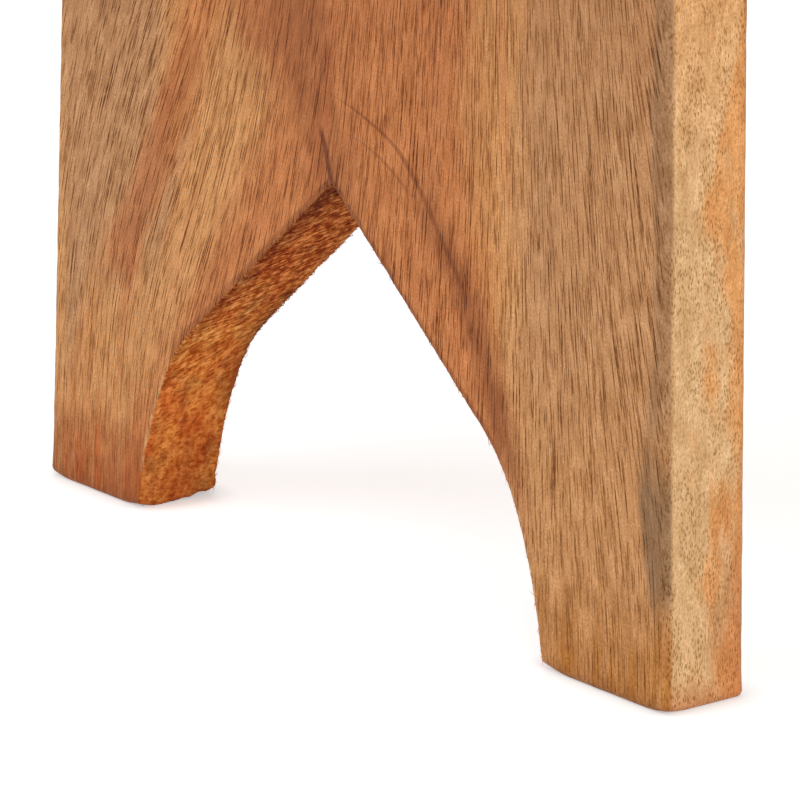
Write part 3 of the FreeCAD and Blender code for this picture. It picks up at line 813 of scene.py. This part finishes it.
def add_splinters(mesh, rings, sawn, sizes, seed):
    """Stand torn fibres up on the sawn face, most of them along its back edge."""
    chance = Random(seed)
    through = Vector((0, 1, 0))
    places = [i for i, is_sawn in enumerate(sawn) if is_sawn]
    for _ in range(sizes.splinters):
        i = places[chance.randrange(4, len(places) - 4)]
        edge = chance.random()
        at_back = edge < 0.4
        at_front = edge > 0.75
        row = len(rings) - 4 if at_back else chance.randrange(8, len(rings) - 4)
        if at_front:
            row = chance.randrange(4, 8)
        base = rings[row][0][i]
        ahead = (rings[row][0][(i + 3) % len(sawn)] - base).normalized()
        out = ahead.cross(through)
        if out.x * base.x > 0 or (abs(base.x) < 0.004 and out.z > 0):
            out = -out
        lift = chance.uniform(0.12, 0.5)
        swing = chance.uniform(-0.9 if at_front else -0.5, 0.9 if at_back else 0.5)
        way = (ahead * chance.choice((-1, 1)) + out * lift + through * swing).normalized()
        long = sizes.splinter_length * chance.uniform(0.35, 1.0)
        wide = sizes.splinter_width * chance.uniform(0.6, 1.0)
        stand_splinter(mesh, base, out, way, long, wide, sizes.thickness)
    # A spur is left at the rear of each foot's inner corner
    row = rings[len(rings) - 6][0]
    for i in (places[4], places[-5]):
        out = Vector((-1 if row[i].x > 0 else 1, 0, 0))
        way = (out + through * 0.5).normalized()
        stand_splinter(mesh, row[i], Vector((0, 0, 1)), way, sizes.splinter_length,
                       sizes.splinter_width * 2.4, sizes.thickness)


def join_rings(mesh, loops):
    """Join rings of vertices with bands of smooth faces, close both ends, and give the bands."""
    bands = []
    for above, below in zip(loops, loops[1:]):
        band = []
        for i in range(len(above)):
            j = (i + 1) % len(above)
            band.append(mesh.faces.new((above[i], above[j], below[j], below[i])))
            band[i].smooth = True
        bands.append(band)
    mesh.faces.new(list(reversed(loops[0])))
    mesh.faces.new(loops[-1])
    return bands


def build_panel(name, sizes, seed):
    """Build an end panel with its outer face on y = 0: planed faces, and an arch as sawn."""
    points, edges, sawn = zip(*panel_outline(sizes))
    rings = panel_rings(points, smoothed(edges, 4), sawn, sizes, seed)
    mesh = bmesh.new()
    layer = mesh.verts.layers.float.new("near_arch")
    loops = []
    for ring, nearness in rings:
        loop = [mesh.verts.new(spot) for spot in ring]
        for vert, near in zip(loop, nearness):
            vert[layer] = near
        loops.append(loop)
    sole = 3 * MILLIMETRE
    lifted = 0.4 * MILLIMETRE
    for number, band in enumerate(join_rings(mesh, loops)):
        for i, face in enumerate(band):
            spot = loops[number + 1][i].co
            torn = points[i].y < sole and spot.z > points[i].y + lifted
            torn = torn and spot.y > 0.3 * sizes.thickness
            cut = sawn[i] and sawn[(i + 1) % len(sawn)]
            face.material_index = 1 if number > 2 and (torn or cut) else 0
    bmesh.ops.recalc_face_normals(mesh, faces=mesh.faces)
    add_splinters(mesh, rings, sawn, sizes, seed)
    return finished_piece(name, mesh)


def finished_piece(name, mesh):
    """Turn a built mesh into an object of the scene."""
    data = bpy.data.meshes.new(name)
    mesh.to_mesh(data)
    mesh.free()
    piece = bpy.data.objects.new(name, data)
    bpy.context.scene.collection.objects.link(piece)
    return piece


def thread_radius(sizes, depth, angle):
    """Radius of a screw's shank at a depth under its head and an angle round it."""
    tail = min(1.0, max(0.0, (sizes.length - depth) / sizes.tip_length))
    core = sizes.shank_radius - sizes.thread_depth
    if depth < sizes.plain_length:
        return core + 0.55 * sizes.thread_depth
    turn = (depth / sizes.thread_pitch + angle / (2 * math.pi)) % 1.0
    crest = max(0.0, 1 - abs(turn - 0.5) / 0.2)
    start = min(1.0, (depth - sizes.plain_length) / sizes.thread_pitch)
    return core * tail ** 0.7 + sizes.thread_depth * crest * start * min(1.0, 2 * tail)


def head_face(sizes, radius, angle):
    """Height of a pan head over its bearing face, with the driver's cross cut into it."""
    dome = sizes.head_height * (1 - 0.3 * (radius / sizes.head_radius) ** 2.5)
    slope = 1 - radius / (0.62 * sizes.recess_width)
    arm = 0.14 * sizes.recess_width
    beside = min(abs(radius * math.cos(angle)), abs(radius * math.sin(angle)))
    if radius < 0.5 * sizes.recess_width and beside < arm:
        dome -= sizes.recess_depth * (0.35 + 0.65 * slope)
    return dome


def add_screw(mesh, sizes, place, turn_over):
    """Build one wood screw whose head bears on its place, hanging down or standing up."""
    angles = [2 * math.pi * step / sizes.steps for step in range(sizes.steps)]
    rows = []
    fine = 0.25 * MILLIMETRE
    for step in range(round(sizes.length / fine), -1, -1):
        depth = min(step * fine, sizes.length - 0.02 * MILLIMETRE)
        rows.append([(thread_radius(sizes, depth, angle), -depth) for angle in angles])
    rim = sizes.head_radius
    for radius, height in ((rim * 0.97, 0.0), (rim, 0.05), (rim, 0.55)):
        rows.append([(radius, height * sizes.head_height)] * sizes.steps)
    for step in range(16):
        radius = rim * (0.985 - step / 16)
        rows.append([(radius, head_face(sizes, radius, angle)) for angle in angles])
    over = -1 if turn_over else 1
    loops = []
    for row in rows:
        loop = []
        for angle, (radius, height) in zip(angles, row):
            across = radius * math.cos(angle)
            along = over * radius * math.sin(angle)
            loop.append(mesh.verts.new(place + Vector((across, along, over * height))))
        loops.append(loop)
    join_rings(mesh, loops)


def dress(node_name, material):
    """Give a CAD node a better material and leave its shape alone."""
    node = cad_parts[node_name]
    node.data.materials.clear()
    node.data.materials.append(material)


class STOOL_OT_end_panels(bpy.types.Operator):
    """Build the two arched end panels"""

    bl_idname = "stool.end_panels"
    bl_label = "End Panels"

    def execute(self, context):
        sizes = context.scene.stool_panel
        colours = context.scene.stool_wood
        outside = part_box("near_end_panel")[0].y
        start = (0.0, -outside / MILLIMETRE, 0.0)
        ends = [("near", 0.0, 3.0, None), ("far", math.pi, 11.0, (35.0, 90.0, 330.0))]
        for end, turn, seed, pith in ends:
            piece = build_panel(f"{end}_arched_panel", sizes, seed)
            piece.data.transform(
                Matrix.Rotation(turn, 4, "Z") @ Matrix.Translation((0, outside, 0)))
            back = (0, 0, -turn)
            face = oiled_panel(f"oiled_acacia_{end}_panel", colours, back, start, seed, pith)
            raw = sawn_face(f"sawn_acacia_{end}_arch", colours, back, start, seed)
            piece.data.materials.append(face)
            piece.data.materials.append(raw)
            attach(piece, "root")
            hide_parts(f"{end}_end_panel")
        return {"FINISHED"}


class STOOL_OT_seat_and_rail(bpy.types.Operator):
    """Finish the seat board and the rail under it"""

    bl_idname = "stool.seat_and_rail"
    bl_label = "Seat and Rail"

    def execute(self, context):
        colours = context.scene.stool_wood
        quarter = math.pi / 2
        boards = [
            ("seat_board", "seat", (quarter, 0, 0), (0, 230, 0), 21.0,
             (-20.0, 95.0, -140.0)),
            ("stretcher_rail", "rail", (quarter, 0, quarter), (0, 0, 0), 37.0,
             (150.0, -70.0, 60.0)),
        ]
        for node, board, turn, start, seed, pith in boards:
            dress(node, oiled_board(f"oiled_acacia_{board}", colours, turn, start, seed, pith))
        return {"FINISHED"}


class STOOL_OT_plugs(bpy.types.Operator):
    """Finish the plugs over the seat's screws"""

    bl_idname = "stool.plugs"
    bl_label = "Plugs"

    def execute(self, context):
        colours = context.scene.stool_wood
        for end, turn in (("near", 0.35), ("far", -0.25)):
            material = oiled_plugs(f"oiled_acacia_{end}_plugs", colours, (0, math.pi / 2, turn),
                                   50.0 + turn)
            dress(f"{end}_seat_plugs", material)
        return {"FINISHED"}


class STOOL_OT_screws(bpy.types.Operator):
    """Build the wood screws with their threads and driver's crosses"""

    bl_idname = "stool.screws"
    bl_label = "Screws"

    def execute(self, context):
        sizes = context.scene.stool_screw
        zinc = zinc_plated("zinc_plated_steel", sizes)
        # Each node holds two screws, whose CAD heads are 8.5 mm wide and 3 mm high
        head_reach = Vector((1, 1, 0)) * 4.25 * MILLIMETRE
        head_height = 3 * MILLIMETRE
        for node, turn_over in (("near_seat_screws", False), ("far_seat_screws", False),
                                ("rail_screws", True)):
            low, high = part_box(node)
            bearing = low.z + head_height if turn_over else high.z - head_height
            reach = (high - low) / 2 - head_reach
            mesh = bmesh.new()
            for side in (-1, 1):
                place = (low + high) / 2 + reach * side
                place.z = bearing
                add_screw(mesh, sizes, place, turn_over)
            bmesh.ops.recalc_face_normals(mesh, faces=mesh.faces)
            piece = finished_piece(f"threaded_{node}", mesh)
            piece.data.materials.append(zinc)
            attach(piece, "root")
            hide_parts(node)
        return {"FINISHED"}


class STOOL_OT_stage(bpy.types.Operator):
    """Set the floor, the lights, the world and the camera"""

    bl_idname = "stool.stage"
    bl_label = "Stage"

    def execute(self, context):
        lay_floor()
        light_world(context.scene)
        hang_lamps(context.scene)
        place_camera(context.scene)
        context.scene.view_settings.view_transform = "Standard"
        return {"FINISHED"}


def white_to_rays(add):
    """One for the rays of the camera, of a reflection and of glass, and nothing for the rest."""
    rays = add("LightPath").outputs
    seen = add("maximum", rays["Is Camera Ray"], rays["Is Glossy Ray"])
    return add("maximum", seen, rays["Is Transmission Ray"])


def lay_floor():
    """Lay a white floor that shows only the stool's soft shadow."""
    mesh = bmesh.new()
    bmesh.ops.create_grid(mesh, x_segments=8, y_segments=8, size=30)
    floor = finished_piece("studio_floor", mesh)
    material, add = new_material("white_studio_floor")
    paper = add("BsdfDiffuse", {"Color": linear("#E9ECED")})
    strength = add("multiply", white_to_rays(add), 0.67)
    # The soles keep light off the paper within 9 mm of them, which draws a thin grey line there
    near = add("AmbientOcclusion", {"Distance": 9 * MILLIMETRE}, samples=8).outputs["AO"]
    strength = add("multiply", strength, add("ramp", near, 0.5, 1.0, 0.6, 1.0))
    lift = add("Emission", {"Color": linear("#FFFFFF"), "Strength": strength})
    under = add("NewGeometry").outputs["Backfacing"]
    both = add("MixShader", under, add("AddShader", paper, lift), add("BsdfTransparent"))
    add("OutputMaterial", both)
    floor.data.materials.append(material)


def light_world(scene):
    """Light the stool softly from all round, and show the camera pure white."""
    world = bpy.data.worlds.new("white_studio")
    world.use_nodes = True
    world.node_tree.nodes.clear()
    add = node_adder(world.node_tree)
    soft = add("Background", {"Color": linear("#FFFFFF"), "Strength": 0.38})
    white = add("Background", {"Color": linear("#FFFFFF"), "Strength": 1.0})
    add("OutputWorld", add("MixShader", white_to_rays(add), soft, white))
    scene.world = world


def hang_lamps(scene):
    """Hang two large soft boxes, one on each side of the camera."""
    lamps = [
        ("key_soft_box", (1.95, -0.85, 0.85), 1.5, 24.0),
        ("fill_soft_box", (-0.9, -2.0, 1.2), 1.8, 19.2),
    ]
    for name, place, size, power in lamps:
        light = bpy.data.lights.new(name, "AREA")
        light.shape = "SQUARE"
        light.size = size
        light.energy = power
        lamp = bpy.data.objects.new(name, light)
        lamp.location = place
        aim = Vector((0, 0, 0.1)) - Vector(place)
        lamp.rotation_mode = "QUATERNION"
        lamp.rotation_quaternion = aim.to_track_quat("-Z", "Y")
        scene.collection.objects.link(lamp)


def place_camera(scene):
    """Stand the camera where the photograph was taken from, close to the near panel's feet."""
    stand = Vector((0.726935, -0.718542, 0.282617))
    turn = math.radians(51.3677)
    dip = math.radians(14.3873)
    roll = math.radians(0.9604)
    frame_width = 800
    focal_length = 3856.03
    ahead = Vector((-math.sin(turn) * math.cos(dip), math.cos(turn) * math.cos(dip),
                    -math.sin(dip)))
    level = Vector((math.cos(turn), math.sin(turn), 0))
    above = level.cross(ahead)
    right = level * math.cos(roll) + above * math.sin(roll)
    up = above * math.cos(roll) - level * math.sin(roll)
    data = bpy.data.cameras.new("camera")
    data.sensor_width = 36
    data.lens = focal_length * data.sensor_width / frame_width
    data.clip_start = 0.01
    camera = bpy.data.objects.new("camera", data)
    rotation = Matrix((right, up, -ahead)).transposed().to_4x4()
    camera.matrix_world = Matrix.Translation(stand) @ rotation
    scene.collection.objects.link(camera)
    scene.camera = camera


class STOOL_PT_parts(bpy.types.Panel):
    """Sizes, colours and pieces of the stool"""

    bl_idname = "STOOL_PT_parts"
    bl_label = "Arched Stool"
    bl_space_type = "VIEW_3D"
    bl_region_type = "UI"
    bl_category = "Stool"

    def draw(self, context):
        for group in GROUPS:
            box = self.layout.box()
            for name in GROUPS[group].__annotations__:
                box.prop(getattr(context.scene, group), name)
        for operator in OPERATORS:
            self.layout.operator(operator.bl_idname)


GROUPS = {
    "stool_panel": StoolPanelSizes,
    "stool_wood": StoolWoodColours,
    "stool_screw": StoolScrewSizes,
}
OPERATORS = [STOOL_OT_end_panels, STOOL_OT_seat_and_rail, STOOL_OT_plugs, STOOL_OT_screws,
             STOOL_OT_stage]


def register():
    for name, group in GROUPS.items():
        bpy.utils.register_class(group)
        setattr(bpy.types.Scene, name, PointerProperty(type=group))
    for operator in OPERATORS:
        bpy.utils.register_class(operator)
    bpy.utils.register_class(STOOL_PT_parts)


def unregister():
    bpy.utils.unregister_class(STOOL_PT_parts)
    for operator in reversed(OPERATORS):
        bpy.utils.unregister_class(operator)
    for name, group in reversed(GROUPS.items()):
        delattr(bpy.types.Scene, name)
        bpy.utils.unregister_class(group)


def main():
    """Make every piece and the stage."""
    register()
    bpy.ops.stool.end_panels()
    bpy.ops.stool.seat_and_rail()
    bpy.ops.stool.plugs()
    bpy.ops.stool.screws()
    bpy.ops.stool.stage()


if __name__ == "__main__":
    main()
